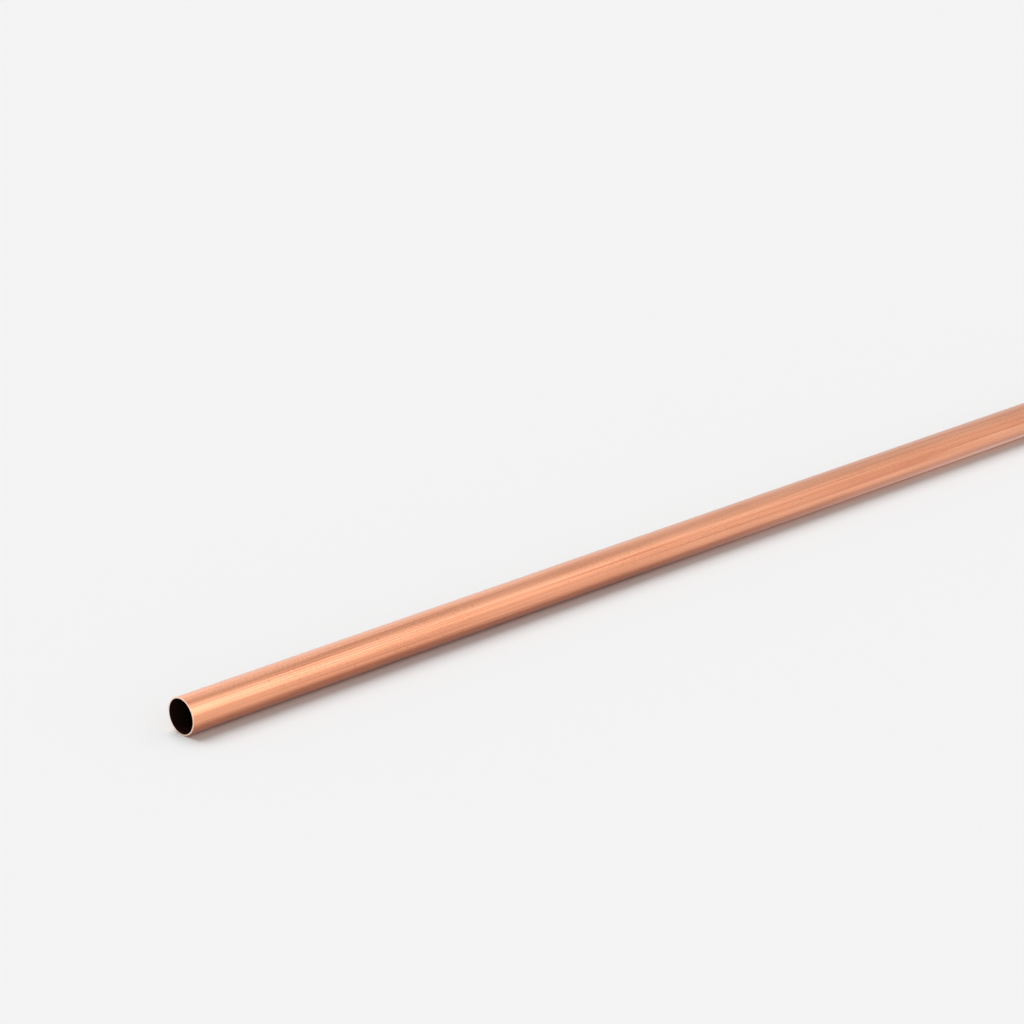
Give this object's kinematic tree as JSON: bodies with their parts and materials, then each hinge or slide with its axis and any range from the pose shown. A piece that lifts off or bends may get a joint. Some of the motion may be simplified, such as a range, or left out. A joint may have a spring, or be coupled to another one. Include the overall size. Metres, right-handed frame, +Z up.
{
  "type": "copper pipe length",
  "caption": "Straight length of thin-walled round copper plumbing pipe, lying on its side, open right through, with square-cut, deburred ends.",
  "frame": {"origin": "under the middle of the pipe, on the surface it lies on", "axes": "+X along the pipe's axis, +Z up, +Y across the pipe"},
  "size_m": [1, 0.022, 0.022],
  "materials": {
    "drawn_copper": "bright drawn copper, satin, with fine streaks along the tube"
  },
  "bodies": {
    "root": {"copper_pipe": "drawn_copper"}
  },
  "joints": []
}
